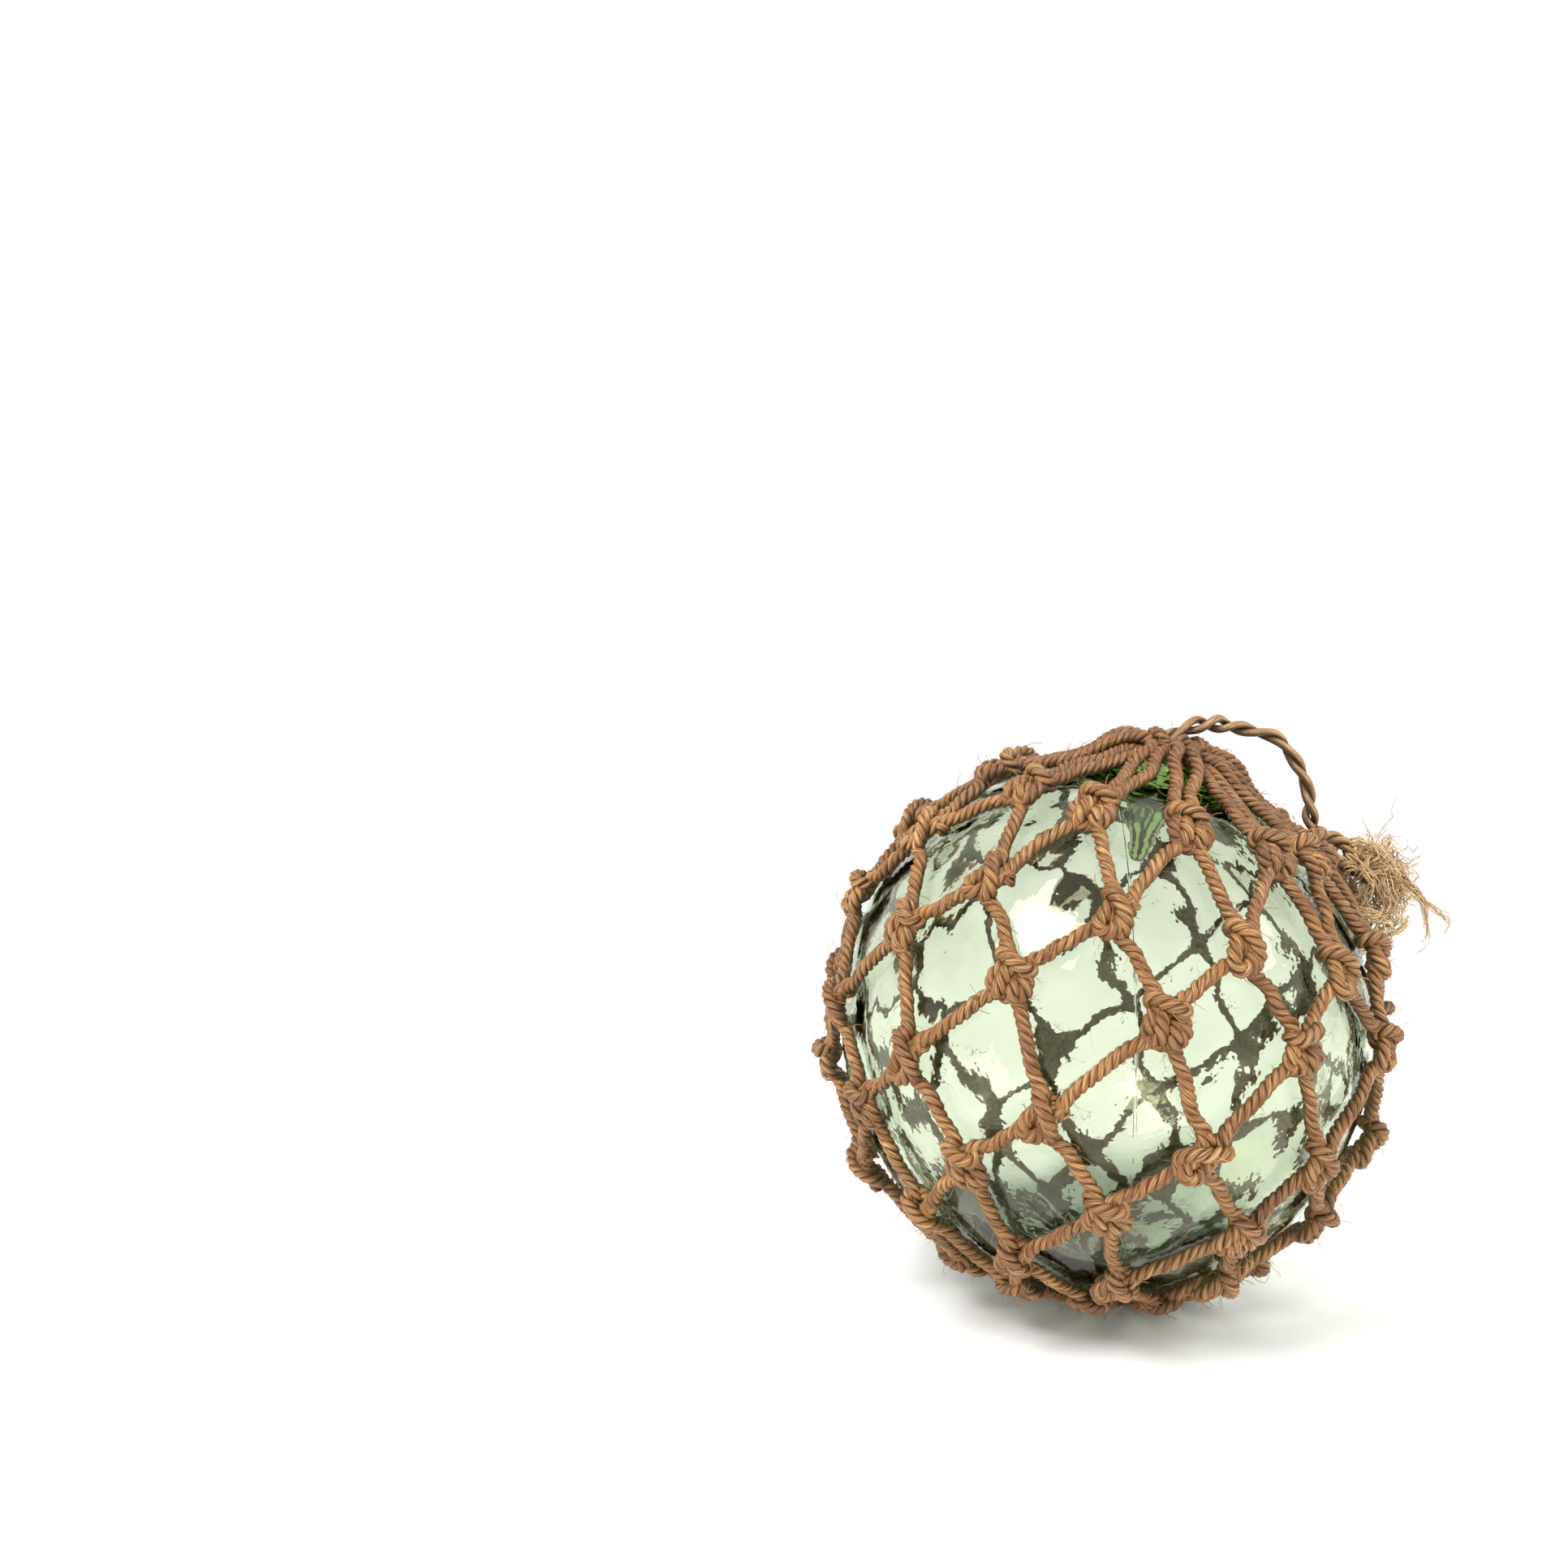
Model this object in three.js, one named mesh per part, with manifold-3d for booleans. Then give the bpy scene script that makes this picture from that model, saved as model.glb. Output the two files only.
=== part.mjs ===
// A hand-blown glass fishing float in its knotted rope net, in millimetres, +Z up.
// The origin is on the surface that the float stands on, under the middle of the ball.
import * as THREE from "three";
import { mergeVertices } from "three/addons/utils/BufferGeometryUtils.js";
import Module from "manifold-3d";

// Glass ball
const ballRadius = 125;
const ballSides = 30;
const ballRings = 14;
const sealRadius = 28; // the pad of glass that closes the blowing hole
const sealHeight = 4.5;
const sealTiltDeg = { right: 12.5, back: -4 };

// Rope and net
const ropeRadius = 3.5;
const ropeSides = 4;
const restGap = 0.4; // between the rope and the glass that it lies on
const meshesAround = 12;
const netTiltDeg = { right: 13.7, back: -1.7 };
const netPhaseDeg = -63.5; // turns the net about its own axis
// Each row of knots, from the top: its angle from the gather, how far it has slipped round the ball, and how much
// of the net's tilt it keeps
const knotRows = [
  { angleDeg: 35.8, slipDeg: 0, tiltShare: 1 },
  { angleDeg: 57.7, slipDeg: 0.1, tiltShare: 1 },
  { angleDeg: 75.2, slipDeg: 1.6, tiltShare: 1 },
  { angleDeg: 96.8, slipDeg: -1.1, tiltShare: 1 },
  { angleDeg: 112.9, slipDeg: 0.3, tiltShare: 1 },
  { angleDeg: 133, slipDeg: -0.8, tiltShare: 1 },
  { angleDeg: 150.5, slipDeg: 0, tiltShare: 0.4 },
];
const knotWidth = 23;
const knotHeight = 32;
const knotThickness = 14;
const knotTaper = 0.62; // the knot's outer face against its foot

// Gather of the mesh ends over the seal, and the foot where they are drawn together under the ball
const gatherRadius = 31;
const gatherClearance = 6;
const gatherHeight = 20;
const footRadius = 31;
const footFlatRadius = 23;
const footThickness = 10;
const ridgeDepth = 1.6;
const ropeEndShare = 0.84; // how far in under the gather and the foot the ropes run, against their radius

// Hanging loop of thin two-ply cord: points right of the ball's middle, behind it and above it
const loopRadius = 2.5;
const loopSides = 8;
const loopSteps = 30;
const loopPoints = [
  [38, -2.5, 147],
  [46, 0, 150],
  [57, 1.6, 148.5],
  [69, 2.4, 144],
  [81, 2.3, 138.6],
  [89.6, 1.6, 129],
  [95.5, 0.3, 120],
  [100, -1.5, 110.5],
  [104, -3.5, 103.5],
];

// Frayed tail of the closing rope, from a knot of the top row
const tailColumn = 5;
const tailReach = [60, 9, -46]; // from its root to its tip
const tailRoot = 5.5;
const tailNeck = 7;
const tailWidth = 23;
const tailTip = 5;

const degrees = Math.PI / 180;
const touchGap = 0.35;
const up = new THREE.Vector3(0, 0, 1);
const ballCentreHeight = ballRadius + restGap + footThickness;

const wasm = await Module();
wasm.setup();

// The geometry as a closed solid that can be joined and cut
function solid(geometry) {
  const bare = geometry.clone();
  bare.deleteAttribute("normal");
  bare.deleteAttribute("uv");
  const merged = mergeVertices(bare, 1e-4);
  return new wasm.Manifold(
    new wasm.Mesh({
      numProp: 3,
      vertProperties: new Float32Array(merged.attributes.position.array),
      triVerts: new Uint32Array(merged.index.array),
    }),
  );
}

function geometryOf(made) {
  const mesh = made.getMesh();
  const positions = new Float32Array(mesh.numVert * 3);
  for (let i = 0; i < mesh.numVert; i++) {
    const start = i * mesh.numProp;
    positions.set(mesh.vertProperties.subarray(start, start + 3), i * 3);
  }
  const geometry = new THREE.BufferGeometry();
  geometry.setAttribute("position", new THREE.BufferAttribute(positions, 3));
  geometry.setIndex(new THREE.BufferAttribute(new Uint32Array(mesh.triVerts), 1));
  return geometry;
}

const join = (solids) => wasm.Manifold.union(solids);

// The turn that leans the vertical to the right and back by a share of a tilt
function leaning(tiltDeg, share) {
  const axis = new THREE.Vector3(
    Math.tan(tiltDeg.right * share * degrees),
    Math.tan(tiltDeg.back * share * degrees),
    1,
  );
  return new THREE.Quaternion().setFromUnitVectors(up, axis.normalize());
}

// A direction from the ball's middle, by its angle from a leaning axis and its angle round from the front
function direction(turn, angleDeg, roundDeg) {
  const angle = angleDeg * degrees;
  const round = roundDeg * degrees;
  const reach = new THREE.Vector3(
    Math.sin(angle) * Math.sin(round),
    -Math.sin(angle) * Math.cos(round),
    Math.cos(angle),
  );
  return reach.applyQuaternion(turn);
}

const meshDeg = 360 / meshesAround;
const upright = leaning(netTiltDeg, 0);
const netTurn = leaning(netTiltDeg, 1);
const lastRow = knotRows.length - 1;

function roundOf(row, column) {
  return netPhaseDeg + knotRows[row].slipDeg + meshDeg * (column + row / 2);
}

function knotDirection(row, column) {
  const turn = leaning(netTiltDeg, knotRows[row].tiltShare);
  return direction(turn, knotRows[row].angleDeg, roundOf(row, column));
}

function glassBall() {
  const sealAngle = Math.asin(sealRadius / ballRadius);
  const profile = [new THREE.Vector2(0, -ballRadius)];
  for (let i = 1; i <= ballRings; i++) {
    const angle = Math.PI - (i / ballRings) * (Math.PI - sealAngle);
    profile.push(new THREE.Vector2(ballRadius * Math.sin(angle), ballRadius * Math.cos(angle)));
  }
  const crown = ballRadius + sealHeight;
  const shoulder = sealRadius * 0.9;
  const shoulderHeight = Math.sqrt(ballRadius ** 2 - shoulder ** 2) + sealHeight * 0.75;
  profile.push(new THREE.Vector2(shoulder, shoulderHeight));
  profile.push(new THREE.Vector2(sealRadius * 0.5, crown - 1));
  profile.push(new THREE.Vector2(0, crown));
  const ball = new THREE.LatheGeometry(profile, ballSides);
  ball.rotateX(Math.PI / 2);
  ball.applyQuaternion(leaning(sealTiltDeg, 1));
  return ball;
}

function cordAlong(points, radius, sides, steps) {
  const section = new THREE.Shape();
  for (let i = 0; i < sides; i++) {
    const angle = (i / sides) * 2 * Math.PI;
    const corner = [radius * Math.cos(angle), radius * Math.sin(angle)];
    if (i) section.lineTo(...corner);
    else section.moveTo(...corner);
  }
  section.closePath();
  const extrudePath = new THREE.CatmullRomCurve3(points, false, "centripetal");
  return new THREE.ExtrudeGeometry(section, { steps, extrudePath, bevelEnabled: false });
}

// A taut length of rope between two places on the ball. It runs straight, so its ends stand off the glass by as
// much as the ball bulges between them, and its far end may be lifted further
function ropeBetween(from, to, farLift) {
  const bulge = (ballRadius + ropeRadius) * (1 - Math.cos(from.angleTo(to) / 2));
  const reach = ballRadius + restGap + ropeRadius + bulge;
  const ends = [from.clone().multiplyScalar(reach), to.clone().multiplyScalar(reach + farLift)];
  return solid(cordAlong(ends, ropeRadius, ropeSides, 1));
}

// A netting knot, as a tapered four-sided lump that lies along the net's axis, a face toward each of its ropes
function knot(row, column) {
  const out = knotDirection(row, column);
  const axis = up.clone().applyQuaternion(leaning(netTiltDeg, knotRows[row].tiltShare));
  const along = axis.addScaledVector(out, -axis.dot(out)).normalize();
  const across = new THREE.Vector3().crossVectors(along, out);
  const outline = new THREE.Shape();
  outline.moveTo(knotWidth / 2, 0);
  outline.lineTo(0, knotHeight / 2);
  outline.lineTo(-knotWidth / 2, 0);
  outline.lineTo(0, -knotHeight / 2);
  outline.closePath();
  const lump = new THREE.ExtrudeGeometry(outline, { depth: knotThickness, bevelEnabled: false });
  const position = lump.attributes.position;
  for (let i = 0; i < position.count; i++) {
    if (position.getZ(i) < knotThickness / 2) continue;
    position.setX(i, position.getX(i) * knotTaper);
    position.setY(i, position.getY(i) * knotTaper);
  }
  lump.applyMatrix4(new THREE.Matrix4().makeBasis(across, along, out));
  const seat = out.clone().multiplyScalar(ballRadius + restGap);
  lump.translate(seat.x, seat.y, seat.z);
  return solid(lump);
}

// The drawn-together rope ends, turned from a profile. Points marked as ridged are lower between the ropes
function drawnTogether(profile, turn) {
  const points = profile.map(([out, high]) => new THREE.Vector2(out, high));
  const cap = new THREE.LatheGeometry(points, meshesAround * 2);
  const position = cap.attributes.position;
  for (let i = 0; i < position.count; i++) {
    const [, , ridged] = profile[i % profile.length];
    const side = Math.floor(i / profile.length);
    if (ridged && side % 2) position.setY(i, position.getY(i) - ridgeDepth);
  }
  cap.rotateX(Math.PI / 2);
  cap.applyQuaternion(turn);
  return solid(cap);
}

// The two ropes from each knot of a row, run in under the gather or the foot
function ropesDrawnIn(row, turn, radius, farLift, fromBelow) {
  const inset = Math.asin((radius * ropeEndShare) / ballRadius) / degrees;
  const ropes = [];
  for (let column = 0; column < meshesAround; column++)
    for (const side of [-0.25, 0.25]) {
      const start = knotDirection(row, column);
      const spread = (Math.sign(side) * ropeRadius * 1.1) / ballRadius;
      start.applyAxisAngle(up, spread / Math.sin(knotRows[row].angleDeg * degrees));
      const round = roundOf(row, column) + side * meshDeg;
      const end = direction(turn, fromBelow ? 180 - inset : inset, round);
      ropes.push(ropeBetween(start, end, farLift));
    }
  return ropes;
}

function gather() {
  const under = ballRadius + gatherClearance;
  const rimUnder = Math.sqrt(under ** 2 - gatherRadius ** 2);
  const crown = ballRadius + gatherHeight;
  const profile = [
    [0, under],
    [gatherRadius * 0.6, Math.sqrt(under ** 2 - (gatherRadius * 0.6) ** 2) + 0.6],
    [gatherRadius, rimUnder + 1],
    [gatherRadius, rimUnder + ropeRadius * 2.8, true],
    [gatherRadius * 0.5, crown - 2.5, true],
    [gatherRadius * 0.2, crown],
    [0, crown],
  ];
  return drawnTogether(profile, netTurn);
}

function foot() {
  const over = ballRadius + restGap + 0.6;
  const profile = [
    [0, -over - footThickness + 0.6],
    [footFlatRadius, -over - footThickness + 0.6],
    [footRadius, -Math.sqrt(over ** 2 - footRadius ** 2) - ropeRadius * 2.4],
    [footRadius, -Math.sqrt(over ** 2 - footRadius ** 2)],
    [footRadius * 0.5, -Math.sqrt(over ** 2 - (footRadius * 0.5) ** 2)],
    [0, -over],
  ];
  return drawnTogether(profile, upright);
}

function ropeNet() {
  const pieces = [gather(), foot()];
  knotRows.forEach((settings, row) => {
    for (let column = 0; column < meshesAround; column++) {
      pieces.push(knot(row, column));
      if (row === lastRow) continue;
      const at = knotDirection(row, column);
      for (const next of [column - 1, column])
        pieces.push(ropeBetween(at, knotDirection(row + 1, next), 0));
    }
  });
  pieces.push(...ropesDrawnIn(0, netTurn, gatherRadius, gatherClearance, false));
  pieces.push(...ropesDrawnIn(lastRow, upright, footRadius, 0, true));
  return join(pieces);
}

function hangingLoop() {
  const points = loopPoints.map((point) => new THREE.Vector3(...point));
  return cordAlong(points, loopRadius, loopSides, loopSteps);
}

// The frayed tail, as one lump that sits against the outside of its knot
function frayedTail() {
  const reach = new THREE.Vector3(...tailReach);
  const length = reach.length();
  const profile = [
    [0, 0],
    [tailRoot, 0],
    [tailNeck, length * 0.16],
    [tailWidth * 0.8, length * 0.34],
    [tailWidth, length * 0.52],
    [tailWidth * 0.86, length * 0.7],
    [tailWidth * 0.5, length * 0.88],
    [tailTip, length],
    [0, length],
  ];
  const lump = new THREE.LatheGeometry(profile.map(([out, along]) => new THREE.Vector2(out, along)), 12);
  const yAxis = new THREE.Vector3(0, 1, 0);
  lump.applyQuaternion(new THREE.Quaternion().setFromUnitVectors(yAxis, reach.normalize()));
  const knotTop = ballRadius + restGap + knotThickness;
  const root = knotDirection(0, tailColumn).multiplyScalar(knotTop - 4);
  lump.translate(root.x, root.y, root.z);
  const clear = new THREE.SphereGeometry(knotTop + touchGap + 0.8, 48, 24);
  return solid(lump).subtract(solid(clear));
}

function material(color, roughness, extra = {}) {
  return new THREE.MeshStandardMaterial({ color, roughness, metalness: 0, ...extra });
}

const float = new THREE.Group();
float.name = "glass_float";

function add(name, geometry, surface) {
  const mesh = new THREE.Mesh(geometry, surface);
  mesh.name = name;
  mesh.position.z = ballCentreHeight;
  float.add(mesh);
}

const clearGreen = { transparent: true, opacity: 0.4 };
add("glass_ball", glassBall(), material(0xb4d8b0, 0.05, clearGreen));
add("rope_net", geometryOf(ropeNet()), material(0xa4683e, 0.85));
add("hanging_loop", hangingLoop(), material(0xb98a58, 0.85));
add("frayed_tail", geometryOf(frayedTail()), material(0xc9a46a, 0.9));

export default float;
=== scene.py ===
# A hand-blown glass fishing float in its knotted rope net, in a white studio. Metres, +Z up.
import math

import bmesh
import bpy
import numpy as np
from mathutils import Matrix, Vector


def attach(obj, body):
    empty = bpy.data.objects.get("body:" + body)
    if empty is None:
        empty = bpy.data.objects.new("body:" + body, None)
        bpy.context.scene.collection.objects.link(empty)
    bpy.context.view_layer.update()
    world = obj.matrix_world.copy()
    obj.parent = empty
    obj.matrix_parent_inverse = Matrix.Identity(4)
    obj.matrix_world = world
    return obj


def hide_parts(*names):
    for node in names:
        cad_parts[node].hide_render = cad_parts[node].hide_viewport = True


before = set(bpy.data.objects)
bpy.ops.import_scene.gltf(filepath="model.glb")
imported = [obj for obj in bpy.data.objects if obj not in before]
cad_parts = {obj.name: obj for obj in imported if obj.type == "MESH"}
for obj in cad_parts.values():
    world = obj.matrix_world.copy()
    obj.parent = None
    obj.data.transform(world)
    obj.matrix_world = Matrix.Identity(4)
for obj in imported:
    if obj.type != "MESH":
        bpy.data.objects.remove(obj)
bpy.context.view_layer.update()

ballRadius = 0.125
ropeRadius = 0.0035
restGap = 0.0004  # between the rope and the glass that it lies on
footThickness = 0.010
ballMiddle = np.array([0.0, 0.0, ballRadius + restGap + footThickness])
straightUp = Vector((0, 0, 1))


# Camera

cameraView = {
    "place": (-0.1526, -0.8027, 0.3348),
    "pitchDeg": 84,
    "lens": 38.94,
    "sensor": 36,
}


def addCamera():
    data = bpy.data.cameras.new("studioCamera")
    data.lens = cameraView["lens"]
    data.sensor_width = cameraView["sensor"]
    camera = bpy.data.objects.new("studioCamera", data)
    camera.location = cameraView["place"]
    camera.rotation_euler = (math.radians(cameraView["pitchDeg"]), 0, 0)
    bpy.context.scene.collection.objects.link(camera)
    bpy.context.scene.camera = camera


addCamera()
print("camera set")


# Helpers for node trees

def addNode(tree, kind, inputs=None, **settings):
    node = tree.nodes.new(kind)
    for name, value in settings.items():
        setattr(node, name, value)
    for key, value in (inputs or {}).items():
        if isinstance(value, bpy.types.NodeSocket):
            tree.links.new(value, node.inputs[key])
        else:
            node.inputs[key].default_value = value
    return node


def maths(tree, operation, *values):
    return addNode(tree, "ShaderNodeMath", dict(enumerate(values)), operation=operation).outputs[0]


def vectorMaths(tree, operation, *values, scale=None):
    inputs = dict(enumerate(values)) | ({} if scale is None else {"Scale": scale})
    node = addNode(tree, "ShaderNodeVectorMath", inputs, operation=operation)
    return node.outputs["Value" if operation in ("DISTANCE", "DOT_PRODUCT") else "Vector"]


def noise(tree, place, scale, detail, roughness=0.5):
    inputs = {"Vector": place, "Scale": scale, "Detail": detail, "Roughness": roughness}
    return addNode(tree, "ShaderNodeTexNoise", inputs).outputs[0]


def mapRange(tree, value, limits, results=(0.0, 1.0)):
    inputs = {"Value": value, "From Min": limits[0], "From Max": limits[1]}
    inputs |= {"To Min": results[0], "To Max": results[1]}
    return addNode(tree, "ShaderNodeMapRange", inputs).outputs[0]


def mixColours(tree, factor, first, second):
    return addNode(tree, "ShaderNodeMix", {0: factor, 6: first, 7: second}, data_type="RGBA").outputs[2]


# A group with its inputs and outputs by name, given from inside: the tree, what comes in and what goes out
def newTree(name, kind, inputs, outputs):
    tree = bpy.data.node_groups.new(name, kind)
    for way, sockets in (("INPUT", inputs), ("OUTPUT", outputs)):
        for label, socketType in sockets.items():
            tree.interface.new_socket(name=label, in_out=way, socket_type="NodeSocket" + socketType)
    return tree, tree.nodes.new("NodeGroupInput").outputs, tree.nodes.new("NodeGroupOutput").inputs


# The plain mesh that the tree makes of the host, whose own object is then removed
def madeByNodes(name, host, tree, values):
    modifier = host.modifiers.new("make", "NODES")
    modifier.node_group = tree
    for socket in tree.interface.items_tree:
        if socket.in_out == "INPUT" and socket.name in values:
            modifier[socket.identifier] = values[socket.name]
    graph = bpy.context.evaluated_depsgraph_get()
    made = host.evaluated_get(graph)
    mesh = bpy.data.meshes.new_from_object(made, preserve_all_data_layers=True, depsgraph=graph)
    host.modifiers.remove(modifier)
    bpy.data.objects.remove(host)
    mesh.name = name
    return linked(name, mesh)


def linked(name, mesh):
    piece = bpy.data.objects.new(name, mesh)
    bpy.context.scene.collection.objects.link(piece)
    return piece


def unit(vector):
    return vector / np.linalg.norm(vector)


# Paths: smooth lines through points that carry a place, a thickness and how far the plies stand open

# A centripetal Catmull-Rom line through rows of (x, y, z, thickness, opening)
def smoothLine(points, closed, perSpan=10):
    rows = np.array(points, float)
    if closed:
        rows = np.vstack([rows[-1], rows, rows[0], rows[1]])
    else:
        rows = np.vstack([2 * rows[0] - rows[1], rows, 2 * rows[-1] - rows[-2]])
    spans = [rows[i : len(rows) - 3 + i] for i in range(4)]
    times = [np.zeros((len(spans[0]), 1))]
    for before, after in zip(spans, spans[1:]):
        gap = np.sqrt(np.linalg.norm(after[:, :3] - before[:, :3], axis=1))[:, None]
        times.append(times[-1] + np.maximum(gap, 1e-5))

    def between(first, last, firstTime, lastTime, at):
        return (first * (lastTime - at) + last * (at - firstTime)) / (lastTime - firstTime)

    line = []
    for step in range(perSpan):
        at = times[1] + (times[2] - times[1]) * step / perSpan
        single = [between(spans[i], spans[i + 1], times[i], times[i + 1], at) for i in range(3)]
        double = [between(single[i], single[i + 1], times[i], times[i + 2], at) for i in range(2)]
        line.append(between(double[0], double[1], times[1], times[2], at))
    smooth = np.stack(line, axis=1).reshape(-1, rows.shape[1])
    return smooth if closed else np.vstack([smooth, rows[-2]])


# A mesh of bare edges along the lines, with their thickness and opening as attributes
def pathHost(name, lines, closed):
    edges, start = [], 0
    for line in lines:
        count = len(line)
        edges += [(start + i, start + i + 1) for i in range(count - 1)]
        if closed:
            edges.append((start + count - 1, start))
        start += count
    rows = np.vstack(lines)
    mesh = bpy.data.meshes.new(name + "Path")
    mesh.from_pydata(rows[:, :3].tolist(), edges, [])
    for label, column in (("thick", 3), ("open", 4)):
        layer = mesh.attributes.new(label, "FLOAT", "POINT")
        layer.data.foreach_set("value", rows[:, column].astype(np.float32))
    return linked(name + "Path", mesh)


# Geometry Nodes: rope of twisted strands along a path

ropeTwist = {
    "wanderScale": 36.0,
    "wander": 0.5,  # how far the strands run ahead of their even turn
    "swellScale": 110.0,
    "swelling": (0.3, 0.85),  # how much a strand's thickness changes, and its least
    "strandSeed": 17.0,
}


def stored(tree, geometry, label, value, kind="FLOAT"):
    inputs = {"Geometry": geometry, "Name": label, "Value": value}
    return addNode(tree, "GeometryNodeStoreNamedAttribute", inputs, data_type=kind, domain="POINT").outputs[0]


def named(tree, label, kind="FLOAT"):
    return addNode(tree, "GeometryNodeInputNamedAttribute", {"Name": label}, data_type=kind).outputs[0]


def roundProfile(tree, sides):
    return addNode(tree, "GeometryNodeCurvePrimitiveCircle", {"Resolution": sides, "Radius": 1.0}).outputs[0]


def tube(tree, curve, profile, size):
    inputs = {"Curve": curve, "Profile Curve": profile, "Scale": size, "Fill Caps": True}
    return addNode(tree, "GeometryNodeCurveToMesh", inputs).outputs[0]


def smoothed(tree, geometry):
    return addNode(tree, "GeometryNodeSetShadeSmooth", {0: geometry}).outputs[0]


# The end of every tree: real faces in their material
def dress(tree, geometry, given, made):
    real = addNode(tree, "GeometryNodeRealizeInstances", {0: geometry}).outputs[0]
    dressed = addNode(tree, "GeometryNodeSetMaterial", {"Geometry": real, "Material": given["Finish"]})
    tree.links.new(dressed.outputs[0], made[0])


def laidRopeTree():
    sizes = ("Rope radius", "Strand place", "Strand radius", "Lay length", "Step", "Seed")
    inputs = {"Path": "Geometry", "Strands": "Int", "Sides": "Int"} | dict.fromkeys(sizes, "Float")
    tree, given, made = newTree(
        "laidRope", "GeometryNodeTree", inputs | {"Finish": "Material"}, {"Rope": "Geometry"}
    )
    curve = addNode(tree, "GeometryNodeMeshToCurve", {"Mesh": given["Path"]}).outputs[0]
    cut = {"Curve": curve, "Length": given["Step"]}
    even = addNode(tree, "GeometryNodeResampleCurve", cut, mode="LENGTH")
    progress = addNode(tree, "GeometryNodeSplineParameter")
    whole = addNode(tree, "GeometryNodeSplineLength").outputs["Length"]
    turns = maths(tree, "ROUND", maths(tree, "DIVIDE", whole, given["Lay length"]))
    turnSoFar = maths(tree, "MULTIPLY", turns, progress.outputs["Factor"])
    place = addNode(tree, "GeometryNodeInputPosition").outputs[0]
    measured = stored(tree, even.outputs[0], "along", progress.outputs["Length"])
    measured = stored(tree, measured, "turn", turnSoFar)
    measured = stored(tree, measured, "middle", place, "FLOAT_VECTOR")
    plies = addNode(
        tree, "GeometryNodeDuplicateElements",
        {"Geometry": measured, "Amount": given["Strands"]}, domain="SPLINE",
    ).outputs
    strands = stored(tree, plies["Geometry"], "strand", plies["Duplicate Index"])
    strand = named(tree, "strand")

    def seeded(seed, scale):
        inputs = {"Vector": place, "W": seed, "Scale": scale, "Detail": 1.0}
        return addNode(tree, "ShaderNodeTexNoise", inputs, noise_dimensions="4D").outputs[0]

    ownSeed = maths(tree, "MULTIPLY_ADD", strand, ropeTwist["strandSeed"], given["Seed"])
    swell = seeded(ownSeed, ropeTwist["swellScale"])
    wander = maths(tree, "MULTIPLY", seeded(given["Seed"], ropeTwist["wanderScale"]), ropeTwist["wander"])
    share = maths(tree, "DIVIDE", strand, given["Strands"])
    turned = maths(tree, "ADD", maths(tree, "ADD", named(tree, "turn"), share), wander)
    angle = maths(tree, "MULTIPLY", turned, -2 * math.pi)
    normal = addNode(tree, "GeometryNodeInputNormal").outputs[0]
    tangent = addNode(tree, "GeometryNodeInputTangent").outputs[0]
    sideways = vectorMaths(tree, "CROSS_PRODUCT", tangent, normal)
    outward = vectorMaths(
        tree, "ADD",
        vectorMaths(tree, "SCALE", normal, scale=maths(tree, "COSINE", angle)),
        vectorMaths(tree, "SCALE", sideways, scale=maths(tree, "SINE", angle)),
    )
    size = maths(tree, "MULTIPLY", given["Rope radius"], named(tree, "thick"))
    spread = maths(tree, "MULTIPLY", given["Strand place"], maths(tree, "ADD", named(tree, "open"), 1.0))
    offset = vectorMaths(tree, "SCALE", outward, scale=maths(tree, "MULTIPLY", size, spread))
    twisted = addNode(tree, "GeometryNodeSetPosition", {"Geometry": strands, "Offset": offset}).outputs[0]
    section = stored(tree, roundProfile(tree, given["Sides"]), "section", place, "FLOAT_VECTOR")
    thickness = maths(tree, "MULTIPLY_ADD", swell, *ropeTwist["swelling"])
    strandSize = maths(tree, "MULTIPLY", maths(tree, "MULTIPLY", size, given["Strand radius"]), thickness)
    outBy = vectorMaths(tree, "DISTANCE", place, named(tree, "middle", "FLOAT_VECTOR"))
    strandTube = tube(tree, twisted, section, strandSize)
    reaching = stored(tree, strandTube, "reach", maths(tree, "DIVIDE", outBy, size))
    bare = addNode(tree, "GeometryNodeRemoveAttribute", {"Geometry": reaching, "Name": "middle"}).outputs[0]
    dress(tree, smoothed(tree, bare), given, made)
    return tree


laidRope = laidRopeTree()


# Materials

fibreGrain = {
    "streakShift": 7.3,  # no two strands of a rope carry the same streaks
    "toneShift": 31.0,
    "toneStretch": 60.0,
    "seamReach": (0.58, 0.9),  # where the painted shade in the seams between strands begins and ends, in rope radii from the rope's middle
    "shadedSideFacing": (0.4, -0.35),  # painted shade, none on the side that faces the room and most on the side that faces the glass
    "streak": (0.36, 0.64),
    "streakPower": 1.8,
    "streaking": 0.9,
    "tone": (0.3, 0.7),
    "blotch": (0.35, 0.65),
    "gloss": (0.35, 0.65),
    "seamDrop": -0.2,
    "reliefDepth": 0.0006,
}
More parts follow.
